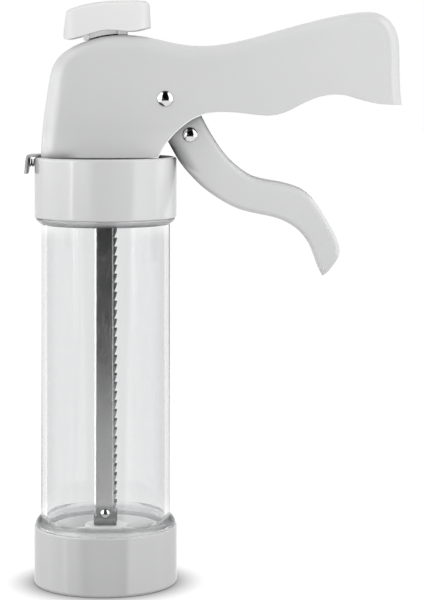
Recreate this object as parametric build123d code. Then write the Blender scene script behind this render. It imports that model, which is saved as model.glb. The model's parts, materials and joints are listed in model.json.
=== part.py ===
from build123d import *
import math
import os

# Cookie press: a clear barrel between a bayonet collar and a threaded ring,
# a ratchet bar with a plunger, and a squeeze trigger in a pistol-grip housing.
# Millimetres. Origin on the barrel axis at the resting face of the lower ring,
# +Z up, +X towards the handle. Points written as pairs are (X, Z).

# ---------------------------------------------------------- shared dimensions
R_RING = 29.8            # outside of lower ring and collar
R_BARREL_OUT = 27.0
R_BARREL_IN = 24.8
R_FLARE = 29.3           # barrel shoulders
Z_RING_TOP = 24.0
Z_CAP_BOT = 152.7        # lower edge of collar
Z_CAP_WALL = 174.0       # underside of the collar's top wall
Z_CAP_TOP = 178.0
R_PLATE = 28.35          # plate let into the top of the collar
PLATE_T = 0.8
Z_BARREL_BOT = 3.8
Z_BARREL_TOP = 172.8

THREAD_PITCH = 4.0
THREAD_TURNS = 1.9
THREAD_ROOT_W = 2.2
THREAD_TIP_W = 1.0
R_BARREL_CREST = 27.85   # crest of the barrel thread
R_RING_BORE = 28.15      # bore of the ring between its threads
R_RING_CREST = 27.3      # crest of the ring thread

LUG_ANGLES = (90.0, 210.0, 330.0)    # bayonet lugs
LUG_HALF = 10.0          # half angle of a lug
LOCK_TURN = 30.0
LUG_Z0, LUG_Z1 = 163.0, 166.0
LUG_GAP = 0.3

SCREWS = [(x, y) for x in (-17.5, 15.0) for y in (10.6, -10.6)]    # X, Y
SCREW_R = 1.5
SCREW_CLEAR_R = 1.7
BOSS_R = 3.0

BODY_HALF = 14.0         # half thickness of the housing (Y)
WALL = 2.5               # housing wall
BODY_FILLET = 6.0
TRIG_HALF = 9.5          # half thickness of the trigger (Y)
TRIG_WALL = 1.7          # trigger side wall
TRIG_FACE = 2.2          # trigger finger wall

PIVOT = (25.3, 202.5)    # trigger pivot
LEVER_JOINT = (35.5, 187.5)    # rivet that holds the lever in the trigger
LEVER_END = (44.0, 173.0)      # end of the steel lever inside the trigger
PIVOT_R = 2.6
JOINT_R = 2.5
STEM_R = 1.6             # thin +Y end of both pins, inside a cap
PIVOT_HEAD_R = 3.3
JOINT_HEAD_R = 3.1
PIVOT_STEM = 0.9         # how far the stem stands out of the side face
JOINT_STEM = 0.85
ARM = 19.0               # lever arm, pivot to nose
ARM_ANGLE = math.radians(11.0)    # nose above the pivot at rest
NOSE_R = 2.0
NOSE = (PIVOT[0] - ARM * math.cos(ARM_ANGLE), PIVOT[1] + ARM * math.sin(ARM_ANGLE))

RACK_X0, RACK_X1 = -4.8, 4.65    # rack web face and tooth tips
RACK_HALF = 4.3          # half width of rack (Y)
RACK_T = 1.2             # rack sheet
RACK_Z0, RACK_Z1 = 24.2, 239.0
RACK_GAP = 0.3           # clearance of the slots the rack slides in
TOOTH_PITCH = 3.8
TOOTH_ROOT_X = 3.55
TOOTH_LAND = 0.9         # vertical tip land
COIN_DEPTH = 0.3         # coined step beside the teeth
COIN_X = 3.3             # where the step starts
Z_CATCH = 178.0          # load face that the catch plate holds at rest
TOOTH_LOW, TOOTH_HIGH = -39, 8    # tooth numbers below and above the catch

PLUNGER_RIVET = (0, 29.0)
PLUNGER_RIVET_R = 1.2
KNOB_PIN = (0, 235.0)
KNOB_PIN_R = 1.25
R_PLUNGER = 24.4
R_SEAL = 24.7
R_HUB = 8.8

Z_CARRIAGE = 196.3       # underside of the drive carriage
PAWL_PIVOT = (11.2, 205.6)
PAWL_PIN_R = 1.25
SEAT_TOP = 180.5         # top of the return spring's seat
RELEASE_HALF = 7.0       # half width of the release plate (Y)
Z_RELEASE = 178.1        # underside of the release plate
Z_RELEASE_SPRING = 175.5


# -------------------------------------------------------------------- helpers
def at_xz(point):
    return (point[0], 0.0, point[1])


def spline_xz(points):
    return Spline(*[at_xz(p) for p in points])


def chain_xz(points):
    """Straight edges from each point to the next."""
    return [Line(at_xz(p), at_xz(q)) for p, q in zip(points, points[1:])]


def prism(edges, y0, y1):
    """Closed loop in the XZ plane, extruded along Y from y0 to y1."""
    return extrude(Pos(0, y0, 0) * Face(Wire(edges)), amount=y1 - y0, dir=(0, 1, 0))


def poly_prism(points, y0, y1):
    return prism(chain_xz(points + points[:1]), y0, y1)


def turned(points):
    """Polygon of (radius, Z) points revolved about Z."""
    outline = Polyline(*[at_xz(p) for p in points], close=True)
    return revolve(make_face(outline), axis=Axis.Z)


def box(x0, x1, y0, y1, z0, z1):
    return Pos((x0 + x1) / 2, (y0 + y1) / 2, (z0 + z1) / 2) * Box(x1 - x0, y1 - y0, z1 - z0)


def rack_slot(z0, z1, gap=RACK_GAP):
    """Cutter for a slot around the rack."""
    half = RACK_HALF + gap
    return box(RACK_X0 - gap, RACK_X1 + gap, -half, half, z0, z1)


def cyl_z(x, y, radius, z0, z1):
    return Pos(x, y, (z0 + z1) / 2) * Cylinder(radius, z1 - z0)


def cyl_y(point, radius, y0, y1):
    return Pos(point[0], (y0 + y1) / 2, point[1]) * Rot(90, 0, 0) * Cylinder(radius, y1 - y0)


def cyl_x(y, z, radius, x0, x1):
    return Pos((x0 + x1) / 2, y, z) * Rot(0, 90, 0) * Cylinder(radius, x1 - x0)


def mirrored(near, far):
    """The Y spans from |y| = near to far, first on -Y, then on +Y."""
    return (-far, -near), (near, far)


def both_sides(make, near, far):
    minus, plus = mirrored(near, far)
    return make(*minus) + make(*plus)


def dome_y(point, radius, height, y_face, side):
    """Spherical rivet head on the plane y = y_face, bulging towards side (+1 or -1)."""
    x, z = point
    ball_r = (radius * radius + height * height) / (2 * height)
    ball = Pos(x, y_face + side * (height - ball_r), z) * Sphere(ball_r)
    y0, y1 = sorted((y_face, y_face + side * (height + 1)))
    return ball & box(x - radius - 1, x + radius + 1, y0, y1, z - radius - 1, z + radius + 1)


def link(start, start_r, end, end_r, y0, y1):
    """Flat link with round ends."""
    dx, dz = end[0] - start[0], end[1] - start[1]
    heading = math.atan2(dz, dx)
    spread = math.acos((start_r - end_r) / math.hypot(dx, dz))
    corners = []
    for point, radius, side in ((start, start_r, 1), (end, end_r, 1),
                                (end, end_r, -1), (start, start_r, -1)):
        angle = heading + side * spread
        corners.append((point[0] + radius * math.cos(angle),
                        point[1] + radius * math.sin(angle)))
    return (poly_prism(corners, y0, y1) + cyl_y(start, start_r, y0, y1)
            + cyl_y(end, end_r, y0, y1))


def pick(part, x=None, y=None, z=None, longer=0.0, shorter=math.inf):
    """Edges by centre (y is matched on either side of the XZ plane) and by length."""
    def fits(edge):
        centre = edge.center()
        return ((x is None or abs(centre.X - x) < 0.01)
                and (y is None or abs(abs(centre.Y) - y) < 0.01)
                and (z is None or abs(centre.Z - z) < 0.01)
                and longer < edge.length < shorter)
    return [edge for edge in part.edges() if fits(edge)]


def tangent_point(centre, radius, point, side):
    """Where the line from point touches the circle; side is +1 or -1."""
    dx, dz = point[0] - centre[0], point[1] - centre[1]
    angle = math.atan2(dz, dx) + side * math.acos(radius / math.hypot(dx, dz))
    return (centre[0] + radius * math.cos(angle), centre[1] + radius * math.sin(angle))


def offset_points(edge, count, dist, end=1.0):
    """Points along an XZ edge up to the fraction end, moved dist to its right."""
    points = []
    for i in range(count):
        u = end * i / (count - 1)
        here, heading = edge @ u, edge % u
        points.append((here.X + heading.Z * dist, here.Z - heading.X * dist))
    return points


def sector_ring(r0, r1, z0, z1, angle0, angle1):
    """Ring segment between two angles in degrees."""
    full = Pos(0, 0, (z0 + z1) / 2) * Rot(0, 0, angle0) * (
        Cylinder(r1, z1 - z0, arc_size=angle1 - angle0))
    return full - cyl_z(0, 0, r0, z0 - 1, z1 + 1)


def coil(radius, wire_r, height, turns):
    """Round wire coil about +Z, starting at z = 0."""
    path = Helix(pitch=height / turns, height=height, radius=radius)
    profile = Plane(origin=path @ 0, z_dir=path % 0) * Circle(wire_r)
    return sweep(profile, path=path, is_frenet=True)


def thread(radius, r_root, r_tip):
    """Trapezoid ridge wound on a helix about +Z, starting at z = 0."""
    path = Helix(pitch=THREAD_PITCH, height=THREAD_PITCH * THREAD_TURNS, radius=radius)
    plane = Plane(origin=path @ 0, x_dir=(1, 0, 0), z_dir=path % 0)
    root, tip = r_root - radius, r_tip - radius
    outline = Polyline((root, -THREAD_ROOT_W / 2), (tip, -THREAD_TIP_W / 2),
                       (tip, THREAD_TIP_W / 2), (root, THREAD_ROOT_W / 2), close=True)
    return sweep(plane * make_face(outline), path=path, is_frenet=True)


# -------------------------------------------------------------------- housing
# X, Z: from the collar's -X side over the top to the end of the handle
BODY_UPPER = [
    (-26.6, 178.02), (-26.2, 186.4), (-25.3, 194.9), (-23.9, 204.4), (-22.7, 212.1),
    (-21.3, 216.4), (-19.5, 219.3), (-16.6, 222), (-12, 224.7), (-6.2, 226.9), (0, 228.4),
    (6.5, 229), (13.4, 228.7), (20.6, 227.5), (29.3, 225.6), (36.2, 224.6), (42.8, 224.5),
    (50.2, 225.3), (58, 226.9), (66.7, 229.2), (76, 231.9), (85.1, 234.3), (93.7, 236.4),
    (101.8, 237.9), (108.4, 238.5), (112.9, 238.2), (115.6, 237.2), (118.1, 235.4),
    (120.2, 232.8), (121.7, 229.4), (122.5, 224.7), (122.7, 217.1), (122.9, 208.9),
    (123.6, 200)]
# X, Z: back under the handle to the collar's +X side
BODY_LOWER = [
    (123.6, 200), (118.1, 200.1), (112.8, 200.6), (106.6, 202.2), (100.2, 203.9),
    (96.1, 204.3), (92.1, 204), (87.5, 202.8), (82.3, 200.6), (76.2, 197.5), (72.1, 196.1),
    (68.2, 195.6), (62.9, 195.9), (55.3, 196.8), (49.2, 197.1), (44.5, 196.8), (40.6, 195.7),
    (36.6, 194), (32.6, 191.2), (28.8, 187.7), (25.4, 183.3), (22.4, 178.02)]
# X, lower end Z: ribs across the handle
HANDLE_RIBS = [(58.0, 212.0), (72.0, 213.0), (86.0, 217.0), (100.0, 219.0), (112.0, 217.0)]
RIB_HALF = 0.9

BODY_TOP_EDGE = spline_xz(BODY_UPPER)


def body_block():
    """The housing's outer shape, solid."""
    block = prism([BODY_TOP_EDGE, spline_xz(BODY_LOWER)]
                  + chain_xz([BODY_LOWER[-1], BODY_UPPER[0]]), -BODY_HALF, BODY_HALF)
    return fillet(pick(block, y=BODY_HALF, longer=0.9 * BODY_TOP_EDGE.length), BODY_FILLET)


BODY = body_block()


def handle_housing():
    inner = offset_points(BODY_TOP_EDGE, 44, WALL)
    cavity = prism([spline_xz(inner)] + chain_xz([
        inner[-1], (inner[-1][0], 185.0), (60.0, 185.0), (30.0, 168.0),
        (inner[0][0], 168.0), inner[0]]), -BODY_HALF + WALL, BODY_HALF - WALL)
    housing = BODY - cavity

    # screw bosses, rack guide, ribs across and along the handle
    inserts = [cyl_z(x, y, BOSS_R, Z_CAP_TOP + 0.02, 188.0) for x, y in SCREWS]
    inserts.append(box(-8.2, 8.2, -8.0, 8.0, 217.5, 232.0))
    for x, z in HANDLE_RIBS:
        inserts.append(box(x - RIB_HALF, x + RIB_HALF, -12.0, 12.0, z, 240.0))
    inserts.append(box(47.0, 122.5, -RIB_HALF, RIB_HALF, 221.0, 240.0))
    for insert in inserts:
        housing = housing + (insert & BODY)

    housing = housing - rack_slot(216.0, 233.0)
    # notch for the release plate
    half = RELEASE_HALF + 0.3
    housing = housing - box(-31.0, -23.5, -half, half, 177.0, 179.5)
    housing = housing - cyl_y(PIVOT, PIVOT_R + 0.02, -15.0, 15.0)
    for x, y in SCREWS:
        housing = housing - cyl_z(x, y, SCREW_R + 0.05, 177.0, 186.6)
    return housing


# --------------------------------------------------------------------- collar
def head_cap():
    cap = cyl_z(0, 0, R_RING, Z_CAP_BOT, Z_CAP_TOP)
    cap = fillet(pick(cap, z=Z_CAP_TOP, longer=100), 1.1)
    cap = fillet(pick(cap, z=Z_CAP_BOT, longer=100), 0.6)
    cap = cap - cyl_z(0, 0, R_BARREL_OUT + 0.2, Z_CAP_BOT - 1, Z_CAP_WALL)
    cap = cap - cyl_z(0, 0, R_PLATE + 0.05, Z_CAP_TOP - PLATE_T, Z_CAP_TOP + 1)
    cap = cap - box(-6.0, 5.9, -5.4, 5.4, 170.0, 180.0)
    for x, y in SCREWS:
        cap = cap - cyl_z(x, y, SCREW_CLEAR_R, 173.0, 179.0) - cyl_z(x, y, 3.0, 173.0, 175.2)
    # bayonet: a level slot to turn in, and an entry slot from below
    slot_top = LUG_Z1 + LUG_GAP
    for angle in LUG_ANGLES:
        first = angle - LUG_HALF - 1
        last = angle + LUG_HALF + LOCK_TURN + 1
        cap = cap - sector_ring(27.0, 28.6, LUG_Z0 - LUG_GAP, slot_top, first, last)
        cap = cap - sector_ring(27.0, 28.6, Z_CAP_BOT - 1, slot_top, first + LOCK_TURN, last)
    # pocket for the release spring
    return cap - cyl_x(0, Z_RELEASE_SPRING, 1.9, -31.0, -28.6)


def cap_base_plate():
    plate = cyl_z(0, 0, R_PLATE, Z_CAP_TOP - PLATE_T, Z_CAP_TOP)
    plate = plate - rack_slot(176.0, 179.0)
    for x, y in SCREWS:
        plate = plate - cyl_z(x, y, SCREW_CLEAR_R, 176.0, 179.0)
    return plate


def housing_screws():
    """Four screws with cross slots in heads that face down."""
    screws = None
    for x, y in SCREWS:
        screw = cyl_z(x, y, SCREW_R, 174.0, 186.0) + cyl_z(x, y, 2.8, 173.3, 175.2)
        for half_x, half_y in ((2.0, 0.35), (0.35, 2.0)):
            screw = screw - box(x - half_x, x + half_x, y - half_y, y + half_y, 173.0, 174.2)
        screws = screw if screws is None else screws + screw
    return screws


# --------------------------------------------------------------- clear barrel
def barrel():
    low = Z_RING_TOP + 0.15      # face of the lower shoulder
    high = Z_CAP_BOT - 0.2       # face of the upper shoulder
    # radius, Z of the shoulder curves
    low_curve = [(R_FLARE, low + 0.2), (29.15, 25.3), (28.7, 26.3), (27.9, 27.2),
                 (R_BARREL_OUT, 28.1)]
    high_curve = [(R_BARREL_OUT, 149.9), (27.6, 150.4), (28.4, 151.0), (29.0, 151.6),
                  (R_FLARE, high - 0.2)]
    edges = chain_xz([(R_BARREL_IN, Z_BARREL_BOT), (R_BARREL_OUT - 0.4, Z_BARREL_BOT),
                      (R_BARREL_OUT, Z_BARREL_BOT + 0.4), (R_BARREL_OUT, low),
                      (R_FLARE - 0.2, low), low_curve[0]])
    edges.append(spline_xz(low_curve))
    edges += chain_xz([low_curve[-1], high_curve[0]])
    edges.append(spline_xz(high_curve))
    edges += chain_xz([high_curve[-1], (R_FLARE - 0.2, high), (R_BARREL_OUT, high),
                       (R_BARREL_OUT, Z_BARREL_TOP - 0.4), (R_BARREL_OUT - 0.4, Z_BARREL_TOP),
                       (R_BARREL_IN, Z_BARREL_TOP), (R_BARREL_IN, Z_BARREL_BOT)])
    tube = revolve(Face(Wire(edges)), axis=Axis.Z)
    for angle in LUG_ANGLES:
        tube = tube + sector_ring(R_BARREL_OUT - 0.4, 28.4, LUG_Z0, LUG_Z1,
                                  angle - LUG_HALF, angle + LUG_HALF)
    return tube + Pos(0, 0, 7.4) * thread(R_BARREL_OUT, R_BARREL_OUT - 0.5, R_BARREL_CREST)


def barrel_gasket():
    return (cyl_z(0, 0, R_BARREL_OUT + 0.1, Z_BARREL_TOP + 0.05, Z_CAP_WALL - 0.05)
            - cyl_z(0, 0, R_BARREL_IN + 0.1, 172.0, 175.0))


# ----------------------------------------------------------- lower ring, disc
def lower_ring():
    opening_r = 21.5
    ring = cyl_z(0, 0, R_RING, 0.0, Z_RING_TOP)
    ring = fillet(pick(ring, z=0, longer=100), 1.0)
    ring = fillet(pick(ring, z=Z_RING_TOP, longer=100), 0.6)
    ring = ring - cyl_z(0, 0, R_RING_BORE, 2.4, Z_RING_TOP + 1)
    ring = ring - cyl_z(0, 0, opening_r, -1, 3.0)
    around = 2 * math.pi * opening_r
    ring = chamfer(pick(ring, z=0, longer=around - 1, shorter=around + 1), 0.8)
    return ring + Pos(0, 0, 9.4) * thread(R_RING_BORE, R_RING_BORE + 0.45, R_RING_CREST)


def cookie_disc():
    """Disc with a centre hole and six radial slots, wider at their outer ends."""
    inner_x, inner_r = 5.5, 1.7
    outer_x, outer_r = 13.5, 2.6
    disc = cyl_z(0, 0, 27.6, 2.48, 3.68)
    disc = disc - cyl_z(0, 0, 2.2, 2.0, 4.0)
    for k in range(6):
        turn = Rot(0, 0, 60.0 * k)
        slot = turn * box(inner_x, outer_x, -inner_r, inner_r, 1.5, 4.5)
        slot += turn * cyl_z(outer_x, 0, outer_r, 1.5, 4.5)
        slot += turn * cyl_z(inner_x, 0, inner_r, 1.5, 4.5)
        disc = disc - slot
    return disc


# ---------------------------------------------------------------- ratchet bar
def ratchet_bar():
    rack = box(RACK_X0, RACK_X1, -RACK_HALF, RACK_HALF, RACK_Z0, RACK_Z1)
    rack = fillet(pick(rack, x=RACK_X0, y=RACK_HALF, longer=100), 1.5)

    # the toothed strip is coined thinner than the flange, with a rounded step
    for span in mirrored(RACK_HALF - COIN_DEPTH, RACK_HALF + 1.0):
        rack = rack - box(COIN_X, RACK_X1 + 1.0, *span, 20.0, 245.0)
    rack = fillet(pick(rack, x=COIN_X, y=RACK_HALF, longer=100), COIN_DEPTH - 0.02)

    # channel, open on the tooth side
    floor, half = RACK_X0 + RACK_T, RACK_HALF - RACK_T
    channel = box(floor, 10.0, -half, half, 20.0, 245.0)
    rack = rack - fillet(pick(channel, x=floor, y=half, longer=100), 0.4)

    beyond = 8.0                 # X outside the teeth
    saw = [(beyond, Z_CATCH + TOOTH_PITCH * TOOTH_LOW)]
    for n in range(TOOTH_LOW, TOOTH_HIGH + 1):
        z = Z_CATCH + TOOTH_PITCH * n
        saw += [(RACK_X1, z), (TOOTH_ROOT_X, z), (RACK_X1, z + TOOTH_PITCH - TOOTH_LAND)]
    del saw[1]                   # lies on the line between its neighbours
    saw.append((beyond, Z_CATCH + TOOTH_PITCH * (TOOTH_HIGH + 1) - TOOTH_LAND))
    rack = rack - poly_prism(saw, -6.0, 6.0)

    rack = rack - cyl_y(PLUNGER_RIVET, PLUNGER_RIVET_R + 0.02, -6, 6)
    rack = rack - cyl_y(KNOB_PIN, KNOB_PIN_R + 0.02, -6, 6)
    # bevelled top corners of the flanges
    for span in mirrored(2.5, 6.0):
        rack = rack - poly_prism([(3.2, RACK_Z1 + 1), (6, RACK_Z1 + 1), (6, RACK_Z1 - 1.6)], *span)
    return rack


# -------------------------------------------------------------------- plunger
def plunger():
    # radius, Z: cup with a central hub
    body = turned([
        (0, 5.0), (R_PLUNGER - 0.5, 5.0), (R_PLUNGER, 5.5), (R_PLUNGER, 19.0), (22.6, 19.0),
        (22.6, 23.0), (22.3, 23.3), (21.6, 23.3), (21.6, 7.2), (R_HUB, 7.2), (R_HUB, 23.5),
        (R_HUB - 0.5, 24.0), (0, 24.0)])
    for k in range(8):
        rib = box(R_HUB - 1.0, 22.0, -0.9, 0.9, 7.0, 20.0)
        body = body + Rot(0, 0, 22.5 + 45.0 * k) * rib
    # tongue that fits in the rack's channel
    half, top = 2.9, 33.0
    tongue = box(RACK_X0 + RACK_T + 0.2, 4.3, -half, half, 23.0, top)
    tongue = fillet(pick(tongue, z=top, longer=2 * half - 0.05, shorter=2 * half + 0.05), 2.0)
    return body + tongue - cyl_y(PLUNGER_RIVET, PLUNGER_RIVET_R + 0.02, -6, 6)


def plunger_seal():
    seal = cyl_z(0, 0, R_SEAL, 19.05, 22.4) - cyl_z(0, 0, 22.65, 18.0, 24.0)
    # groove round the outside
    return seal - (cyl_z(0, 0, R_SEAL + 1, 20.2, 21.2) - cyl_z(0, 0, R_SEAL - 0.45, 19, 22))


def plunger_rivet():
    rivet = cyl_y(PLUNGER_RIVET, PLUNGER_RIVET_R, -RACK_HALF - 0.3, RACK_HALF + 0.3)
    for side in (-1, 1):
        rivet = rivet + dome_y(PLUNGER_RIVET, 1.9, 0.95, side * (RACK_HALF + 0.02), side)
    return rivet


# ----------------------------------------------------------------------- knob
# X, Z of the knob's upper outline, towards +X
KNOB_UPPER = [(-15.9, 238.95), (-12.7, 240.35), (-7.5, 241.8), (-1.5, 242.8), (4.7, 243.2),
              (11.3, 243.3), (18.2, 243.1)]
# X, Z of its lower outline, towards -X
KNOB_LOWER = [(18.8, 232.1), (16.3, 231.5), (13.4, 230.8), (9.4, 230.6), (4.5, 231), (0, 231),
              (-4.7, 229.9), (-10.1, 228.3), (-13.3, 227.5), (-15.5, 227.15),
              (-16.8, 227.45), (-17.3, 228.5)]


def knob():
    body_clear = Pos(0, 0, 0.2) * BODY
    part = prism([spline_xz(KNOB_UPPER), *chain_xz([KNOB_UPPER[-1], KNOB_LOWER[0]]),
                  spline_xz(KNOB_LOWER), *chain_xz([KNOB_LOWER[-1], KNOB_UPPER[0]])],
                 -12.0, 12.0)
    part = part & extrude(Pos(0.75, 0, 220.0) * RectangleRounded(36.2, 24.0, 5.6), amount=30.0)
    # the kernel may refuse the top rounding; the edges then stay sharp
    try:
        part = fillet([edge for edge in part.edges() if edge.center().Z > 238.3
                       and edge.bounding_box().min.Z > 237.5], 2.0)
    except Exception:
        pass
    # feet at -X, +X and +Y of the rack, down to the housing
    feet = box(-8.8, -6.5, -8.0, 8.0, 226.85, 233.0) + box(5.5, 9.0, -8.0, 8.0, 222.0, 233.0)
    feet = feet + box(-6.6, 9.0, 5.0, 8.0, 222.0, 233.0)
    part = part + (feet - body_clear)
    # thin wall on the -Y side of the rack; it stops a little higher than the feet
    part = part + (box(-6.6, 5.6, -7.1, -4.6, 222.0, 233.0) - (Pos(0, 0, 0.55) * BODY))
    part = part - body_clear
    part = part - rack_slot(220.0, RACK_Z1 + 0.1, gap=0.04)
    return part - cyl_y(KNOB_PIN, KNOB_PIN_R + 0.02, -7.0, 14.0)


def knob_pin():
    """Hollow pin, slit along its top."""
    pin = cyl_y(KNOB_PIN, KNOB_PIN_R, -6.8, 11.4) - cyl_y(KNOB_PIN, 0.7, -8.0, 13.0)
    return pin - box(-0.15, 0.15, -8, 13, KNOB_PIN[1], KNOB_PIN[1] + 3)


# -------------------------------------------------------------------- trigger
# X, Z: down the finger side, round the tip, and back up the side facing the handle
TRIGGER_OUTLINE = [
    (26.4, 184.4), (28.7, 180.2), (31.6, 175.5), (36.3, 169.9), (41.8, 164.7), (47.4, 160.8),
    (52.9, 157.7), (58.7, 155.6), (66.6, 153.9), (72.9, 152.2), (77.4, 150), (80.9, 147.3),
    (83.7, 144), (86.3, 139), (88.9, 131.9), (90.6, 128.7), (92.5, 129.9), (95, 132.8),
    (97.2, 136.2), (97.9, 140), (96.3, 145.1), (93, 151.2), (88.8, 158), (85.6, 161.9),
    (82.4, 164.3), (78.1, 166.1), (71.9, 167.6), (64.6, 169), (60.4, 170.5), (56.3, 173.2),
    (51.8, 177.2), (47.7, 182.4), (43.8, 188.5), (40, 195.7)]
TIP_START, TIP_END = 15, 19      # where the outline splits into three curves
EYE_R = 8.5                      # round end about the pivot
EYE_TILT = math.radians(20)
KNEE = (20.8, 188.4)             # hidden corner inside the housing
HOLLOW_END = 0.77                # part of the finger side that is hollow


def round_first(part, edges, radii):
    """Round the edges with the first radius that gives a valid solid."""
    for radius in radii:
        # the kernel may refuse a radius; the next one is then tried
        try:
            rounded = fillet(edges, radius)
            if rounded.is_valid and rounded.volume > 0.5 * part.volume:
                return rounded
        except Exception:
            pass
    return part


def lever_holes(part):
    """Cut the pivot and rivet holes shared by the trigger and its lever."""
    return part - cyl_y(PIVOT, PIVOT_R + 0.1, -12, 12) - cyl_y(LEVER_JOINT, JOINT_R + 0.02, -12, 12)


def trigger_grip():
    finger_side = spline_xz(TRIGGER_OUTLINE[:TIP_START + 1])
    tip = spline_xz(TRIGGER_OUTLINE[TIP_START:TIP_END + 1])
    handle_side = spline_xz(TRIGGER_OUTLINE[TIP_END:])
    rims = (finger_side, tip, handle_side)
    eye_start = tangent_point(PIVOT, EYE_R, TRIGGER_OUTLINE[-1], 1)
    eye_end = tangent_point(PIVOT, EYE_R, KNEE, -1)
    eye_top = (PIVOT[0] - EYE_R * math.sin(EYE_TILT), PIVOT[1] + EYE_R * math.cos(EYE_TILT))
    grip = prism([*rims, *chain_xz([TRIGGER_OUTLINE[-1], eye_start]),
                  ThreePointArc(at_xz(eye_start), at_xz(eye_top), at_xz(eye_end)),
                  *chain_xz([eye_end, KNEE, TRIGGER_OUTLINE[0]])], -TRIG_HALF, TRIG_HALF)
    rim_edges = [edge for edge in pick(grip, y=TRIG_HALF)
                 if any(abs(edge.length - rim.length) < 0.05 for rim in rims)]
    grip = round_first(grip, rim_edges, (2.6, 2.2, 3.2, 1.2))

    # hollow, open along the side that faces the handle
    inner = offset_points(finger_side, 16, -TRIG_FACE, HOLLOW_END)
    end_x = inner[-1][0]
    hollow = [spline_xz(inner)] + chain_xz([
        inner[-1], (end_x + 5.0, 166.5), (end_x + 3.0, 176.0), (50.0, 200.0), (50.0, 216.0),
        (8.0, 216.0), (8.0, 193.0), (21.5, 193.0), (23.4, 189.6), inner[0]])
    half = TRIG_HALF - TRIG_WALL
    return lever_holes(grip - prism(hollow, -half, half))


def trigger_lever():
    """Two steel side plates joined by a cross strip."""
    hook, hook_r = (NOSE[0] + 1.3, NOSE[1] + 2.9), 2.1    # the arm meets the nose from above

    def side_plate(y0, y1):
        plate = link(hook, hook_r, PIVOT, 6.5, y0, y1) + link(PIVOT, 6.5, LEVER_JOINT, 5.0, y0, y1)
        plate = plate + link(NOSE, NOSE_R, hook, hook_r, y0, y1)
        return plate + link(LEVER_JOINT, 5.0, LEVER_END, 4.0, y0, y1)

    dx, dz = LEVER_END[0] - LEVER_JOINT[0], LEVER_END[1] - LEVER_JOINT[1]
    length = math.hypot(dx, dz)
    dir_x, dir_z = dx / length, dz / length

    def along(dist, offset):
        """Point dist from the joint towards the lever end, offset square to that line."""
        return (LEVER_JOINT[0] + dir_x * dist - dir_z * offset,
                LEVER_JOINT[1] + dir_z * dist + dir_x * offset)

    lever = both_sides(side_plate, 6.1, 7.6)
    lever = lever + poly_prism([along(6.0, 2.2), along(15.5, 2.2), along(15.5, 3.7),
                                along(6.0, 3.7)], -7.0, 7.0)
    return lever_holes(lever)


def headed_pin(point, radius, half, stem, head_r, head_h):
    """Pin across the part with a domed head at -Y and a thin stem at +Y."""
    pin = cyl_y(point, radius, -half - 0.3, half) + cyl_y(point, STEM_R, 0, half + stem)
    return pin + dome_y(point, head_r, head_h, -half - 0.02, -1)


def pin_cap(point, half, stem, head_r, head_h):
    """Domed cap over the stem of a headed pin."""
    return (dome_y(point, head_r, head_h, half + 0.02, 1)
            - cyl_y(point, STEM_R + 0.02, half - 1, half + stem + 0.05))


def trigger_rivet():
    return headed_pin(LEVER_JOINT, JOINT_R, TRIG_HALF, JOINT_STEM, JOINT_HEAD_R, 1.4)


def trigger_rivet_cap():
    return pin_cap(LEVER_JOINT, TRIG_HALF, JOINT_STEM, JOINT_HEAD_R, 1.5)


def pivot_pin():
    return headed_pin(PIVOT, PIVOT_R, BODY_HALF, PIVOT_STEM, PIVOT_HEAD_R, 1.6)


def pivot_pin_cap():
    return pin_cap(PIVOT, BODY_HALF, PIVOT_STEM, PIVOT_HEAD_R, 1.6)


def pivot_bushes():
    """Spacers between the trigger and the housing walls."""
    bushes = both_sides(lambda y0, y1: cyl_y(PIVOT, 5.0, y0, y1),
                        TRIG_HALF + 0.08, BODY_HALF - WALL - 0.05)
    return bushes - cyl_y(PIVOT, PIVOT_R + 0.03, -13, 13)


# ---------------------------------------------------------------- drive train
def drive_carriage():
    plate_t = 1.8
    ear_top = NOSE[1] - NOSE_R - 0.08    # the lever's noses rest just above the ears
    pawl_x, pawl_z = PAWL_PIVOT

    def cheek(y0, y1):
        side = poly_prism([(-6.0, Z_CARRIAGE), (14.0, Z_CARRIAGE), (14.0, pawl_z),
                           (pawl_x - 2.8, pawl_z), (9.4, ear_top), (2.5, ear_top),
                           (-6.0, 199.5)], y0, y1)
        return side + cyl_y(PAWL_PIVOT, 2.8, y0, y1)

    def ear(y0, y1):
        return box(3.9, 9.3, y0, y1, ear_top - 1.6, ear_top)

    carriage = box(-9.0, 14.0, -7.0, 7.0, Z_CARRIAGE, Z_CARRIAGE + plate_t)
    carriage = fillet(pick(carriage, longer=plate_t - 0.05, shorter=plate_t + 0.05), 1.5)
    carriage = carriage + both_sides(cheek, 4.7, 5.9)
    carriage = carriage + both_sides(ear, 5.8, 7.9)
    carriage = carriage - rack_slot(190.0, 200.0)
    return carriage - cyl_y(PAWL_PIVOT, PAWL_PIN_R + 0.02, -9, 9)


def drive_pawl():
    tip_z = Z_CATCH + 6 * TOOTH_PITCH + 0.1
    pawl = link(PAWL_PIVOT, 2.5, (7.4, 202.9), 1.6, -2.9, 2.9)
    pawl = pawl + poly_prism([(RACK_X1 + 0.1, tip_z), (7.6, tip_z), (8.7, 203.2), (7.6, 204.4),
                              (5.4, 203.0)], -RACK_HALF, RACK_HALF)
    return pawl - cyl_y(PAWL_PIVOT, PAWL_PIN_R + 0.05, -5, 5)


def pawl_pin():
    return cyl_y(PAWL_PIVOT, PAWL_PIN_R, -6.0, 6.0)


def pawl_spring():
    return Pos(PAWL_PIVOT[0], 4.45, PAWL_PIVOT[1]) * Rot(90, 0, 0) * coil(1.85, 0.22, 1.25, 2.5)


def spring_seat():
    half = 9.5
    seat = box(-half, half, -9.0, 9.0, SEAT_TOP - 1.2, SEAT_TOP)
    seat = seat + both_sides(
        lambda y0, y1: box(-half, half, y0, y1, Z_CAP_TOP + 0.03, SEAT_TOP), 8.0, 9.0)
    seat = fillet(pick(seat, z=SEAT_TOP, longer=18.5), 0.8)
    return seat - rack_slot(177.0, 182.0)


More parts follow.
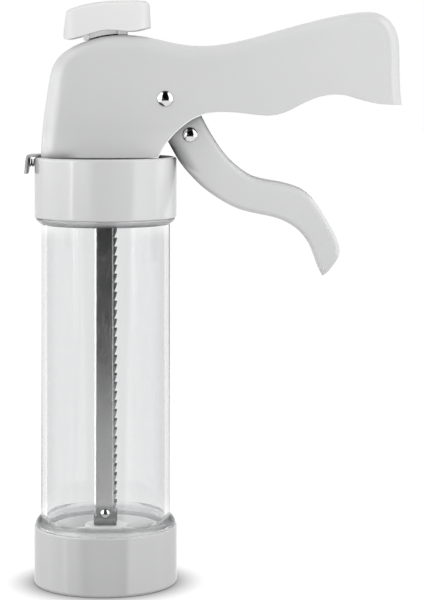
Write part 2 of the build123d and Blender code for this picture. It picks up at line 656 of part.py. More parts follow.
def return_spring():
    wire_r = 0.6
    height = Z_CARRIAGE - SEAT_TOP - 2 * wire_r - 0.1
    return Pos(0, 0, SEAT_TOP + wire_r + 0.05) * coil(7.35, wire_r, height, 4.5)


# -------------------------------------------------------------- release catch
def release_plate():
    """Flat plate round the rack with a tab bent down outside the collar at -X."""
    low, top = Z_RELEASE, Z_RELEASE + 1.0
    end_x = 9.0
    outer_x, inner_x = -32.95, -31.95    # faces of the tab at the bend
    plate = poly_prism([(end_x, top), (outer_x, top), (-33.8, 171.0), (-32.8, 170.9),
                        (inner_x, low), (end_x, low)], -RELEASE_HALF, RELEASE_HALF)
    plate = fillet(pick(plate, x=outer_x, z=top), 1.4)
    plate = fillet(pick(plate, x=inner_x, z=low), 0.4)
    plate = fillet([edge for edge in pick(plate, y=RELEASE_HALF, shorter=1.2)
                    if edge.center().Z < 171.2], 2.2)
    plate = fillet(pick(plate, x=end_x, shorter=1.2), 2.0)
    # window for the rack; its +X edge is the catch
    return plate - box(RACK_X0 - 1.85, 4.05, -4.8, 4.8, 177.0, 180.0)


def release_spring():
    return Pos(-28.9, 0, Z_RELEASE_SPRING) * Rot(0, -90, 0) * coil(1.45, 0.25, 3.05, 3.5)


# --------------------------------------------------------------------- export
# each file takes the name of the function that builds the piece
PIECES = (
    handle_housing, head_cap, cap_base_plate, housing_screws, barrel, barrel_gasket,
    lower_ring, cookie_disc, ratchet_bar, plunger, plunger_seal, plunger_rivet, knob, knob_pin,
    trigger_grip, trigger_lever, trigger_rivet, trigger_rivet_cap, pivot_pin, pivot_pin_cap,
    pivot_bushes, drive_carriage, drive_pawl, pawl_pin, pawl_spring, spring_seat,
    return_spring, release_plate, release_spring)

os.makedirs("parts", exist_ok=True)
for build in PIECES:
    shape = build()
    shape.label = build.__name__
    export_step(shape, "parts/" + shape.label + ".step")
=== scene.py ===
import bpy
import json
import math
from mathutils import Vector, Matrix

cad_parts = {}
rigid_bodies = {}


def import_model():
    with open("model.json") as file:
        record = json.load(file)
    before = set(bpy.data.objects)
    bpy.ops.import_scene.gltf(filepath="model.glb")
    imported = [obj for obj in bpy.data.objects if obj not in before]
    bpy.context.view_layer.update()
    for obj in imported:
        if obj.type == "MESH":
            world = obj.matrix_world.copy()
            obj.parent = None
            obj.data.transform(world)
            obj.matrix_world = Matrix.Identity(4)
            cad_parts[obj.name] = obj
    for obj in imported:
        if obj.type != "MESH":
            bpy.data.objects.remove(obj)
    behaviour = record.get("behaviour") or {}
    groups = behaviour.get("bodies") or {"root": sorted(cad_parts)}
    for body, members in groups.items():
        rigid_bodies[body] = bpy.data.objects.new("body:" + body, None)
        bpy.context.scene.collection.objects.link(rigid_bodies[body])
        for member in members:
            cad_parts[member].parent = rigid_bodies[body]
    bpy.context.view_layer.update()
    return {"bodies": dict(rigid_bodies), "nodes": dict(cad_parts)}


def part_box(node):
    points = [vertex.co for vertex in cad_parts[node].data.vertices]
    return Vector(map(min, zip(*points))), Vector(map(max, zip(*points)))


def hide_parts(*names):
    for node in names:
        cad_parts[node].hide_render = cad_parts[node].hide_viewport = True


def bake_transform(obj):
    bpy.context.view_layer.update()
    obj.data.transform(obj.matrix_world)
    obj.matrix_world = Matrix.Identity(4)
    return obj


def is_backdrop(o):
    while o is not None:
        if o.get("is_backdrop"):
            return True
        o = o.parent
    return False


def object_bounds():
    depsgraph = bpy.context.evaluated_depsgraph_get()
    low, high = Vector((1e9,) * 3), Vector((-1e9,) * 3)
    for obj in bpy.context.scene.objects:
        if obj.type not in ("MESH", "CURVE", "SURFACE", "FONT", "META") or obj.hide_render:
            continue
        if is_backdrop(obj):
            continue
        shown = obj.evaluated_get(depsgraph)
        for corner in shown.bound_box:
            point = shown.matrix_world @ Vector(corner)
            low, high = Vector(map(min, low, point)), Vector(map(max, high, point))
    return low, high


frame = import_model()
scene = bpy.context.scene
nodes = frame["nodes"]


# ------------------------------------------------------------ node helpers
def new_mat(name):
    m = bpy.data.materials.new(name)
    m.use_nodes = True
    nt = m.node_tree
    nt.nodes.clear()
    return m, nt


class Net:
    """Small wrapper that keeps material code short."""

    def __init__(self, nt):
        self.nt = nt

    def add(self, kind, inputs=None, **props):
        n = self.nt.nodes.new(kind)
        for k, v in props.items():
            setattr(n, k, v)
        for k, v in (inputs or {}).items():
            self.put(n, k, v)
        return n

    def put(self, node, key, value):
        sock = node.inputs[key]
        if isinstance(value, bpy.types.NodeSocket):
            self.nt.links.new(value, sock)
        elif isinstance(value, bpy.types.Node):
            self.nt.links.new(value.outputs[0], sock)
        else:
            sock.default_value = value

    def coord(self, scale=(1, 1, 1), rot=(0, 0, 0), loc=(0, 0, 0)):
        tc = self.add("ShaderNodeTexCoord")
        return self.add("ShaderNodeMapping", {"Vector": tc.outputs["Object"], "Scale": scale,
                                              "Rotation": rot, "Location": loc}).outputs[0]

    def noise(self, vec, scale, detail=3.0, rough=0.55):
        return self.add("ShaderNodeTexNoise", {"Vector": vec, "Scale": scale, "Detail": detail,
                                               "Roughness": rough}).outputs[0]

    def remap(self, val, a, b, c, d):
        return self.add("ShaderNodeMapRange", {"Value": val, "From Min": a, "From Max": b,
                                               "To Min": c, "To Max": d}).outputs[0]

    def math(self, op, a, b=0.0):
        n = self.nt.nodes.new("ShaderNodeMath")
        n.operation = op
        self.put(n, 0, a)
        self.put(n, 1, b)
        return n.outputs[0]

    def mix_col(self, fac, a, b):
        n = self.nt.nodes.new("ShaderNodeMix")
        n.data_type = "RGBA"
        self.put(n, "Factor", fac)
        self.put(n, 6, a)
        self.put(n, 7, b)
        return n.outputs[2]

    def bump(self, height, strength, dist, normal=None):
        n = self.add("ShaderNodeBump", {"Height": height, "Strength": strength, "Distance": dist})
        if normal is not None:
            self.put(n, "Normal", normal)
        return n.outputs[0]

    def finish(self, shader):
        o = self.nt.nodes.new("ShaderNodeOutputMaterial")
        self.nt.links.new(shader if isinstance(shader, bpy.types.NodeSocket) else shader.outputs[0],
                          o.inputs[0])


def edge_mask(n, radius):
    """Light mask along convex and concave edges, from a rounded normal."""
    bev = n.add("ShaderNodeBevel", {"Radius": radius}, samples=4)
    geo = n.add("ShaderNodeNewGeometry")
    dot = n.add("ShaderNodeVectorMath", {0: bev.outputs[0], 1: geo.outputs["Normal"]}, operation="DOT_PRODUCT")
    return bev.outputs[0], n.remap(dot.outputs["Value"], 1.0, 0.86, 0.0, 1.0)


def plastic(name, base, rough=0.34, grain=0.00022, bump=0.05, bevel=0.00045, sss=0.06, coat=0.0,
            tint=0.012, wear=0.04, painted_shade_depth=0.0, painted_shade_reach=0.006, painted_shade_span=(0.25, 0.95), painted_glow=0.0, spec=0.5, painted_shade_x=None, painted_rim_shade=0.0,
            soft=None, painted_lip_and_foot_light=None, painted_underside_glow=None, shade_by=None, painted_edge_glow=0.0,
            painted_flank=None):
    m, nt = new_mat(name)
    n = Net(nt)
    vec = n.coord()
    big = n.noise(vec, 14.0, 3.0)
    mid = n.noise(vec, 160.0, 4.0)
    fine = n.noise(vec, 1.0 / grain, 2.0, 0.5)
    normal, edge = edge_mask(n, bevel)
    dark = tuple(c * (1 - 2 * tint) for c in base) + (1,)
    lite = tuple(min(1, c * (1 + tint)) for c in base) + (1,)
    col = n.mix_col(n.remap(big, 0.35, 0.65, 0, 1), dark, lite)
    worn = tuple(min(1, c * (1 + wear)) for c in base) + (1,)
    col = n.mix_col(n.math("MULTIPLY", edge, n.remap(mid, 0.3, 0.7, 0.2, 0.9)), col, worn)
    # painted shade: ambient occlusion darkens the colour in creases, in recesses and under overhangs
    if painted_shade_depth > 0:
        ao = n.add("ShaderNodeAmbientOcclusion", {"Distance": painted_shade_reach}, samples=8)
        shade = n.remap(ao.outputs["AO"], *painted_shade_span, 1.0 - painted_shade_depth, 1.0)
        if painted_shade_x is not None:
            side = n.add("ShaderNodeSeparateXYZ", {0: vec}).outputs[0]
            shade = n.math("MAXIMUM", shade, n.remap(side, painted_shade_x[0], painted_shade_x[1], 0.0, 1.0))
        if shade_by is not None:
            shade = shade_by(n, vec, shade)
        # painted light: where the ambient occlusion is middling, as under the knob, the surface glows a little
        if painted_underside_glow is not None:
            painted_glow = n.math("MULTIPLY", n.remap(ao.outputs["AO"], painted_underside_glow[0], painted_underside_glow[1], 0.0, painted_underside_glow[3]),
                          n.remap(ao.outputs["AO"], painted_underside_glow[1], painted_underside_glow[2], 1.0, 0.0))
        mul = n.nt.nodes.new("ShaderNodeMix")
        mul.data_type = "RGBA"
        mul.blend_type = "MULTIPLY"
        n.put(mul, "Factor", 1.0)
        n.put(mul, 6, col)
        n.put(mul, 7, shade)
        col = mul.outputs[2]
    # painted shade: the colour darkens where the surface turns away from the view
    if painted_rim_shade > 0:
        turn = n.add("ShaderNodeLayerWeight", {"Blend": 0.5}).outputs["Facing"]
        col = n.mix_col(n.remap(turn, 0.15, 0.9, 0.0, 1.0), col, tuple(c * (1 - painted_rim_shade) for c in base) + (1,))
    if painted_flank is not None:
        # painted light: a glow on the side that a bright wall beyond the camera's view would light up
        at = n.add("ShaderNodeSeparateXYZ", {0: vec})
        painted_glow = n.math("MULTIPLY", n.remap(at.outputs[0], painted_flank[0], painted_flank[1], 0.0, painted_flank[2]),
                      n.remap(at.outputs[2], 0.162, 0.175, 1.0, 1.12))
        painted_glow = n.math("MULTIPLY", painted_glow, n.remap(at.outputs[0], 0.0268, 0.0288, 1.0, 0.25))
    if painted_edge_glow > 0:
        # painted light: a glow on the turned edges, standing in for light that soaks through the thin edges
        away = n.add("ShaderNodeLayerWeight", {"Blend": 0.5}).outputs["Facing"]
        painted_glow = n.math("MULTIPLY", n.remap(away, 0.12, 0.7, 0.0, painted_edge_glow),
                      n.remap(n.add("ShaderNodeSeparateXYZ", {0: vec}).outputs[0], 0.034, 0.046, 0.0, 1.0))
    if soft is not None:
        # a broad rounding, wider than the fillet, on the side where x is low
        wide = n.add("ShaderNodeBevel", {"Radius": soft[0]}, samples=8).outputs[0]
        place = n.remap(n.add("ShaderNodeSeparateXYZ", {0: vec}).outputs[0], soft[1], soft[2], 1.0, 0.0)
        diff = n.add("ShaderNodeVectorMath", {0: wide, 1: normal}, operation="SUBTRACT").outputs[0]
        step = n.add("ShaderNodeVectorMath", {0: diff, "Scale": place}, operation="SCALE").outputs[0]
        total = n.add("ShaderNodeVectorMath", {0: normal, 1: step}, operation="ADD").outputs[0]
        normal = n.add("ShaderNodeVectorMath", {0: total}, operation="NORMALIZE").outputs[0]
    if painted_lip_and_foot_light is not None:
        # painted highlight: a glow along the edge in this zone, where it catches the light
        at = n.add("ShaderNodeSeparateXYZ", {0: vec})
        turned = n.add("ShaderNodeLayerWeight", {"Blend": 0.5}).outputs["Facing"]
        zone = n.math("MULTIPLY", n.remap(at.outputs[0], painted_lip_and_foot_light[0], painted_lip_and_foot_light[0] + 0.004, 0.0, 1.0),
                      n.remap(at.outputs[0], painted_lip_and_foot_light[1] - 0.004, painted_lip_and_foot_light[1], 1.0, 0.0))
        zone = n.math("MULTIPLY", zone, n.remap(at.outputs[2], painted_lip_and_foot_light[2], painted_lip_and_foot_light[2] + 0.003, 0.0, 1.0))
        zone = n.math("MULTIPLY", zone, n.remap(at.outputs[2], painted_lip_and_foot_light[3] - 0.004, painted_lip_and_foot_light[3], 1.0, 0.0))
        near = n.add("ShaderNodeBevel", {"Radius": 0.0010}, samples=8).outputs[0]
        bent = n.add("ShaderNodeVectorMath", {0: near, 1: n.add("ShaderNodeNewGeometry").outputs["Normal"]},
                     operation="DOT_PRODUCT").outputs["Value"]
        painted_glow = n.math("MULTIPLY", zone, n.math("MULTIPLY", n.math("MAXIMUM", n.remap(turned, 0.22, 0.42, 0.0, 1.0),
                                                                  n.remap(bent, 0.985, 0.93, 0.0, 1.0)), painted_lip_and_foot_light[4]))
        # painted light: the foot glows, for the light it takes back from the collar it stands on
        painted_glow = n.math("ADD", painted_glow, n.remap(at.outputs[2], 0.1905, 0.1785, 0.0, painted_lip_and_foot_light[5]))
    r = n.math("ADD", n.remap(mid, 0.3, 0.7, rough - 0.025, rough + 0.025),
               n.remap(fine, 0.3, 0.7, -0.015, 0.015))
    r = n.math("ADD", r, n.math("MULTIPLY", edge, 0.03))
    nb = n.bump(fine, bump, 0.00006, normal)
    nb = n.bump(mid, bump * 0.6, 0.00012, nb)
    p = n.add("ShaderNodeBsdfPrincipled", {"Base Color": col, "Roughness": r, "IOR": 1.5,
                                           "Normal": nb, "Subsurface Weight": sss,
                                           "Subsurface Radius": (0.0012, 0.0011, 0.001),
                                           "Subsurface Scale": 1.0, "Specular IOR Level": spec,
                                           "Emission Color": (1, 1, 1, 1), "Emission Strength": painted_glow,
                                           "Coat Weight": coat,
                                           "Coat Roughness": 0.15})
    n.finish(p)
    return m


def steel(name, base, rough=0.3, along="Z", grain=0.00012, bump=0.12, bevel=0.0002, streak=0.10,
          aniso=0.5, wear=0.25, grade=None, painted_shade_depth=0.0, painted_shade_reach=0.004, metal=1.0, spec=0.5):
    """Brushed or rolled steel, with its grain along one axis."""
    m, nt = new_mat(name)
    n = Net(nt)
    s = {"X": (0.02, 1, 1), "Y": (1, 0.02, 1), "Z": (1, 1, 0.02), "N": (1, 1, 1)}[along]
    vec = n.coord(scale=s)
    raw = n.coord()
    brush = n.noise(vec, 1.0 / grain, 4.0, 0.7)
    broad = n.noise(vec, 260.0, 3.0)
    stain = n.noise(raw, 45.0, 4.0)
    normal, edge = edge_mask(n, bevel)
    lo = tuple(c * (1 - streak) for c in base) + (1,)
    hi = tuple(min(1, c * (1 + streak)) for c in base) + (1,)
    col = n.mix_col(n.remap(brush, 0.3, 0.7, 0, 1), lo, hi)
    col = n.mix_col(n.remap(stain, 0.4, 0.75, 0.0, 0.22), col, tuple(c * 0.8 for c in base) + (1,))
    if grade is not None:
        z0, z1, c0, c1 = grade
        sep = n.add("ShaderNodeSeparateXYZ", {0: raw})
        g = n.remap(sep.outputs[2], z0, z1, 0.0, 1.0)
        mul = n.mix_col(g, (c0, c0, c0, 1), (c1, c1, c1, 1))
        mm = n.nt.nodes.new("ShaderNodeMix")
        mm.data_type = "RGBA"
        mm.blend_type = "MULTIPLY"
        n.put(mm, "Factor", 1.0)
        n.put(mm, 6, col)
        n.put(mm, 7, mul)
        col = mm.outputs[2]
    bright = tuple(min(1, c * 1.35) for c in base) + (1,)
    col = n.mix_col(n.math("MULTIPLY", edge, wear), col, bright)
    # painted shade: ambient occlusion darkens the colour in creases and under overhangs
    if painted_shade_depth > 0:
        ao = n.add("ShaderNodeAmbientOcclusion", {"Distance": painted_shade_reach}, samples=8)
        shade = n.remap(ao.outputs["AO"], 0.35, 0.95, 1.0 - painted_shade_depth, 1.0)
        dim = n.nt.nodes.new("ShaderNodeMix")
        dim.data_type = "RGBA"
        dim.blend_type = "MULTIPLY"
        n.put(dim, "Factor", 1.0)
        n.put(dim, 6, col)
        n.put(dim, 7, shade)
        col = dim.outputs[2]
    r = n.math("ADD", n.remap(brush, 0.3, 0.7, rough - 0.06, rough + 0.06),
               n.remap(stain, 0.35, 0.7, -0.02, 0.06))
    nb = n.bump(brush, bump, 0.00003, normal)
    nb = n.bump(broad, bump * 0.5, 0.00008, nb)
    tan = n.add("ShaderNodeTangent", direction_type="RADIAL", axis="Z" if along != "X" else "X")
    p = n.add("ShaderNodeBsdfPrincipled", {"Base Color": col, "Roughness": r, "Metallic": metal,
                                           "Specular IOR Level": spec,
                                           "Normal": nb, "Anisotropic": aniso, "Tangent": tan.outputs[0]})
    n.finish(p)
    return m


def chrome(name, base=(0.78, 0.78, 0.79)):
    m, nt = new_mat(name)
    n = Net(nt)
    vec = n.coord()
    swirl = n.noise(n.coord(scale=(1, 1, 0.2)), 2600.0, 3.0)
    smear = n.noise(vec, 420.0, 4.0)
    col = n.mix_col(n.remap(smear, 0.35, 0.7, 0, 1), tuple(base) + (1,), tuple(c * 0.93 for c in base) + (1,))
    r = n.math("ADD", n.remap(smear, 0.3, 0.7, 0.05, 0.11), n.remap(swirl, 0.3, 0.7, 0.0, 0.03))
    nb = n.bump(swirl, 0.03, 0.00002)
    # painted shade: a dark line round the dome where it meets the surface, and dark silhouettes where it turns
    # away
    ao = n.add("ShaderNodeAmbientOcclusion", {"Distance": 0.0022}, samples=16)
    painted_contact_shade = n.remap(ao.outputs["AO"], 0.84, 0.93, 1.0, 0.0)
    # painted reflection: a dark studio flag, drawn from the reflection direction
    mir = n.add("ShaderNodeSeparateXYZ", {0: n.add("ShaderNodeTexCoord").outputs["Reflection"]})
    wide = n.math("SUBTRACT", 0.72, n.math("MULTIPLY", n.math("MAXIMUM", mir.outputs[2], 0.0), 0.34))
    painted_dark_reflection = n.remap(n.math("SUBTRACT", wide, n.math("ABSOLUTE", mir.outputs[0])), 0.0, 0.05, 0.0, 1.0)
    painted_dark_reflection = n.math("MULTIPLY", painted_dark_reflection, n.remap(mir.outputs[2], -0.38, -0.33, 0.0, 1.0))
    painted_dark_reflection = n.math("MULTIPLY", painted_dark_reflection, n.remap(mir.outputs[1], 0.20, 0.12, 0.0, 1.0))
    col = n.mix_col(painted_dark_reflection, col, n.mix_col(n.remap(smear, 0.35, 0.65, 0, 1), (0.02, 0.02, 0.02, 1), (0.07, 0.07, 0.07, 1)))
    turned = n.add("ShaderNodeLayerWeight", {"Blend": 0.5}).outputs["Facing"]
    painted_contact_shade = n.math("MAXIMUM", painted_contact_shade, n.remap(turned, 0.44, 0.52, 0.0, 1.0))
    col = n.mix_col(painted_contact_shade, col, (0.06, 0.06, 0.06, 1))
    p = n.add("ShaderNodeBsdfPrincipled", {"Base Color": col, "Roughness": r, "Metallic": 1.0, "Normal": nb})
    n.finish(p)
    return m


def clear(name):
    """Clear moulded plastic: a glossy skin over a body that bends light only a little."""
    m, nt = new_mat(name)
    n = Net(nt)
    vec = n.coord(scale=(1, 1, 0.25))
    flow = n.noise(vec, 55.0, 2.0)
    fine = n.noise(n.coord(), 900.0, 3.0)
    nb = n.bump(flow, 0.04, 0.0004)
    nb = n.bump(fine, 0.012, 0.00004, nb)
    r = n.remap(fine, 0.3, 0.7, 0.01, 0.05)
    cloud = n.noise(n.coord(scale=(1, 1, 0.12)), 90.0, 2.0)
    col = n.mix_col(n.remap(cloud, 0.35, 0.65, 0.0, 1.0), (0.955, 0.957, 0.96, 1), (0.98, 0.982, 0.985, 1))
    turn = n.add("ShaderNodeLayerWeight", {"Blend": 0.5}).outputs["Facing"]
    high = n.add("ShaderNodeSeparateXYZ", {0: n.coord()}).outputs[2]
    wall = n.math("MULTIPLY", n.remap(high, 0.030, 0.036, 0.0, 1.0), n.remap(high, 0.148, 0.144, 0.0, 1.0))
    # painted shade: the wall greys a little as it turns from the view, and darker still at its sides
    col = n.mix_col(n.math("MULTIPLY", n.remap(turn, 0.015, 0.14, 0.0, 1.0), wall), col, (0.905, 0.908, 0.912, 1))
    side = n.math("MULTIPLY", n.remap(turn, 0.35, 0.95, 0.0, 1.0), wall)
    col = n.mix_col(side, col, (0.66, 0.665, 0.67, 1))
    p = n.add("ShaderNodeBsdfPrincipled", {"Base Color": col, "Roughness": r,
                                           "IOR": 1.16, "Transmission Weight": 1.0, "Normal": nb,
                                           "Coat Weight": n.remap(turn, 0.12, 0.6, 0.22, 0.02), "Coat IOR": 1.5, "Coat Roughness": 0.03,
                                           "Coat Normal": nb})
    t = n.add("ShaderNodeBsdfTransparent", {"Color": (0.95, 0.955, 0.96, 1)})
    lp = n.add("ShaderNodeLightPath")
    mix = n.add("ShaderNodeMixShader", {0: n.math("MAXIMUM", lp.outputs["Is Shadow Ray"],
                                                  lp.outputs["Is Diffuse Ray"])})
    # the thick shoulders scatter some light; painted shade makes their milky tone darker towards the sides
    at = n.add("ShaderNodeSeparateXYZ", {0: n.coord()})
    painted_flank = n.remap(n.math("ABSOLUTE", at.outputs[0]), 0.013, 0.021, 0.0, 1.0)
    painted_flank = n.math("MULTIPLY", painted_flank, n.remap(high, 0.040, 0.045, 1.0, 0.0))
    # painted shadow: a dark line where the shoulder dips into the ring; it sinks from the front to the sides
    off = n.math("SUBTRACT", high, n.math("SUBTRACT", 0.0241, n.math("MULTIPLY", at.outputs[1], 0.083)))
    painted_shadow_line = n.math("MULTIPLY", n.remap(n.math("ABSOLUTE", off), 0.0003, 0.0009, 1.0, 0.0),
                 n.remap(at.outputs[1], -0.006, -0.014, 0.0, 1.0))
    tone = n.mix_col(painted_flank, (0.80, 0.803, 0.806, 1), (0.68, 0.683, 0.686, 1))
    tone = n.mix_col(painted_shadow_line, tone, (0.22, 0.222, 0.224, 1))
    milk = n.add("ShaderNodeBsdfPrincipled", {"Base Color": tone, "Roughness": 0.12,
                                              "Normal": nb})
    thick = n.math("MAXIMUM", n.remap(high, 0.0272, 0.0255, 0.0, 1.0), n.remap(high, 0.1502, 0.1515, 0.0, 1.0))
    streak = n.noise(n.coord(scale=(1, 1, 6)), 160.0, 3.0)
    share = n.math("MULTIPLY", thick, n.remap(streak, 0.3, 0.7, 0.30, 0.52))
    share = n.math("MAXIMUM", share, n.math("MULTIPLY", painted_shadow_line, 0.5))
    body = n.add("ShaderNodeMixShader", {0: share})
    nt.links.new(p.outputs[0], body.inputs[1])
    nt.links.new(milk.outputs[0], body.inputs[2])
    nt.links.new(body.outputs[0], mix.inputs[1])
    nt.links.new(t.outputs[0], mix.inputs[2])
    n.finish(mix)
    return m


def rubber(name, base):
    m, nt = new_mat(name)
    n = Net(nt)
    vec = n.coord()
    a = n.noise(vec, 700.0, 5.0)
    b = n.noise(vec, 60.0, 3.0)
    normal, edge = edge_mask(n, 0.0003)
    col = n.mix_col(n.remap(b, 0.35, 0.65, 0, 1), tuple(c * 0.94 for c in base) + (1,), tuple(base) + (1,))
    r = n.remap(a, 0.3, 0.7, 0.55, 0.72)
    nb = n.bump(a, 0.15, 0.00008, normal)
    p = n.add("ShaderNodeBsdfPrincipled", {"Base Color": col, "Roughness": r, "Normal": nb,
                                           "Sheen Weight": 0.08, "Specular IOR Level": 0.35})
    n.finish(p)
    return m


def trigger_shade(n, vec, shade):
    """Painted shade: the front edge of the trigger darkens where it dives between the housing walls."""
    at = n.add("ShaderNodeSeparateXYZ", {0: vec})
    u = n.math("SUBTRACT", n.math("ADD", at.outputs[0], n.math("MULTIPLY", at.outputs[2], 0.5)), 0.11825)
    edge = n.remap(u, 0.0004, 0.008, 0.08, 1.0)
    edge = n.math("MAXIMUM", edge, n.remap(at.outputs[2], 0.171, 0.178, 1.0, 0.0))
    return n.math("MINIMUM", shade, edge)


def housing_shade(n, vec, shade):
    """Deep shade only in the slit under the knob, none along the foot."""
    high = n.add("ShaderNodeSeparateXYZ", {0: vec}).outputs[2]
    shade = n.math("MAXIMUM", shade, n.remap(high, 0.208, 0.202, 0.0, 1.0))
    top = n.remap(high, 0.2215, 0.2235, 0.0, 1.0)
    deep = n.remap(shade, 0.30, 0.72, 0.0, 1.0)
    return n.math("ADD", n.math("MULTIPLY", shade, n.math("SUBTRACT", 1.0, top)), n.math("MULTIPLY", deep, top))


# --------------------------------------------------------------- materials
M = {
    "white": plastic("press_white_plastic", (0.736, 0.739, 0.739), rough=0.2, painted_shade_depth=0.9, painted_shade_reach=0.004,
                     painted_shade_span=(0.2, 0.75), painted_rim_shade=0.05, soft=(0.006, -0.016, -0.010),
                     painted_lip_and_foot_light=(0.018, 0.046, 0.174, 0.200, 0.45, 0.085), shade_by=housing_shade),
    "grip": plastic("press_trigger_plastic", (0.755, 0.758, 0.758), rough=0.24, painted_shade_depth=0.62, painted_shade_reach=0.024,
                    painted_shade_span=(0.45, 0.98), painted_shade_x=(0.036, 0.050), painted_rim_shade=0.0, painted_edge_glow=0.09, shade_by=trigger_shade),
    "collar": plastic("press_collar_plastic", (0.722, 0.725, 0.725), rough=0.14, bump=0.03, painted_shade_depth=0.6,
                      painted_shade_reach=0.004, painted_shade_span=(0.3, 0.85), painted_flank=(0.0210, 0.0245, 0.13)),
    "ring": plastic("press_ring_plastic", (0.715, 0.718, 0.718), rough=0.14, bump=0.03),
    "knob": plastic("press_knob_plastic", (0.905, 0.905, 0.903), rough=0.42, painted_shade_depth=0.95, painted_shade_reach=0.0035,
                    painted_shade_span=(0.16, 0.31), spec=0.3, painted_rim_shade=0.30, painted_underside_glow=(0.10, 0.30, 0.62, 0.16)),
    # painted light: the plunger glows faintly, as if lit through
    "plunger": plastic("press_plunger_plastic", (0.88, 0.88, 0.875), rough=0.42, sss=0.1, painted_glow=0.05),
    "bush": plastic("press_bush_plastic", (0.70, 0.70, 0.67), rough=0.45),
    "clear": clear("press_clear_barrel"),
    "seal": rubber("press_seal_rubber", (0.70, 0.70, 0.70)),
    "rack": steel("press_rack_steel", (0.42, 0.42, 0.42), rough=0.13, along="Z", aniso=0.35, bump=0.06,
                  painted_shade_depth=0.9, painted_shade_reach=0.003),
    "sheet": steel("press_sheet_steel", (0.40, 0.40, 0.41), rough=0.3, along="X", aniso=0.3),
    "plate": steel("press_plate_steel", (0.03, 0.03, 0.032), rough=0.5, along="X", aniso=0.2, wear=0.5,
                   metal=0.0, spec=0.12),
    "tab": steel("press_tab_steel", (0.60, 0.60, 0.60), rough=0.42, along="Y", aniso=0.2, bump=0.05,
                 painted_shade_depth=0.85, painted_shade_reach=0.006),
    "zinc": steel("press_zinc_steel", (0.52, 0.52, 0.53), rough=0.3, along="N", aniso=0.0),
    "wire": steel("press_spring_wire", (0.11, 0.11, 0.11), rough=0.2, along="N", aniso=0.0, bump=0.04),
    "chrome": chrome("press_chrome"),
    "disc": steel("press_disc_aluminium", (0.66, 0.66, 0.67), rough=0.33, along="X", aniso=0.3),
}
LOOK = {
    "handle_housing": "white", "trigger_grip": "grip", "head_cap": "collar", "lower_ring": "ring",
    "knob": "knob", "barrel": "clear", "plunger": "plunger", "plunger_seal": "seal",
    "barrel_gasket": "seal", "ratchet_bar": "rack", "drive_carriage": "sheet", "trigger_lever": "sheet",
    "release_plate": "tab", "cap_base_plate": "plate", "spring_seat": "sheet", "drive_pawl": "zinc",
    "pivot_bushes": "bush", "housing_screws": "zinc", "knob_pin": "zinc", "pawl_pin": "zinc",
    "return_spring": "wire", "release_spring": "wire", "pawl_spring": "wire",
    "pivot_pin": "chrome", "pivot_pin_cap": "chrome", "trigger_rivet": "chrome",
    "trigger_rivet_cap": "chrome", "plunger_rivet": "chrome", "cookie_disc": "disc",
}
for name, obj in nodes.items():
    mat = M[LOOK[name]]
    if not obj.material_slots:
        obj.data.materials.append(mat)
    for s in obj.material_slots:
        s.material = mat


# ---------------------------------------------------------------- springs
def coil_mesh(name, centre, axis, radius, wire, length, turns, dead=0.9, seg=40, ring=12, phase=0.0):
    """Compression spring with closed end turns. centre is the start of the axis, length is tip to tip."""
    axis = Vector(axis).normalized()
    u = axis.orthogonal().normalized()
    w = axis.cross(u)
    total = turns + 2 * dead
    steps = int(total * seg)
    free = length - 2 * wire
    pts = []
    for i in range(steps + 1):
        t = total * i / steps
        if t < dead:
            h = t * wire * 2.05
        elif t > total - dead:
            h = free - (total - t) * wire * 2.05
        else:
            a = (t - dead) / turns
            h = dead * wire * 2.05 + a * (free - 2 * dead * wire * 2.05)
        ang = phase + 2 * math.pi * t
        pts.append(Vector(centre) + axis * (wire + h) + (u * math.cos(ang) + w * math.sin(ang)) * radius)
    return tube(name, pts, wire, ring)


def tube(name, pts, wire, ring=12):
    verts, faces = [], []
    prev = None
    for i, p in enumerate(pts):
        a = pts[max(i - 1, 0)]
        b = pts[min(i + 1, len(pts) - 1)]
        t = (b - a).normalized()
        if prev is None:
            side = t.orthogonal().normalized()
        else:
            side = (prev - t * prev.dot(t)).normalized()
        prev = side
        up = t.cross(side)
        for k in range(ring):
            g = 2 * math.pi * k / ring
            verts.append(p + (side * math.cos(g) + up * math.sin(g)) * wire)
    for i in range(len(pts) - 1):
        for k in range(ring):
            k2 = (k + 1) % ring
            faces.append((i * ring + k, i * ring + k2, (i + 1) * ring + k2, (i + 1) * ring + k))
    faces.append(tuple(reversed(range(ring))))
    faces.append(tuple(range((len(pts) - 1) * ring, len(pts) * ring)))
    me = bpy.data.meshes.new(name)
    me.from_pydata([tuple(v) for v in verts], [], faces)
    me.validate()
    for p in me.polygons:
        p.use_smooth = True
    ob = bpy.data.objects.new(name, me)
    scene.collection.objects.link(ob)
    return ob


mm = 0.001
lo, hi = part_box("return_spring")
seat_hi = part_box("spring_seat")[1].z
car_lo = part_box("drive_carriage")[0].z
rs = coil_mesh("return_spring_coil", (0, 0, seat_hi), (0, 0, 1), (hi.x - lo.x) / 2 - 0.6 * mm, 0.6 * mm,
               car_lo - seat_hi, 3.2)
rs.data.materials.append(M["wire"])
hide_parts("return_spring")
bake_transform(rs)

lo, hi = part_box("release_spring")
zc = (lo.z + hi.z) / 2
ts = coil_mesh("release_spring_coil", (hi.x + 0.0 * mm, 0, zc), (-1, 0, 0), (hi.z - lo.z) / 2 - 0.25 * mm,
               0.25 * mm, hi.x - lo.x, 2.6, dead=0.35, phase=0.8)
ts.data.materials.append(M["wire"])
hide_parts("release_spring")
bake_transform(ts)

# ---------------------------------------------------------------- shading
for name, obj in nodes.items():
    for p in obj.data.polygons:
        p.use_smooth = True
    if name not in ("return_spring", "release_spring"):
        es = obj.modifiers.new("split_sharp", "EDGE_SPLIT")
        es.split_angle = math.radians(28)
        es.use_edge_sharp = False
        wn_ = obj.modifiers.new("even_normals", "WEIGHTED_NORMAL")
        wn_.mode = "FACE_AREA"
        wn_.weight = 50

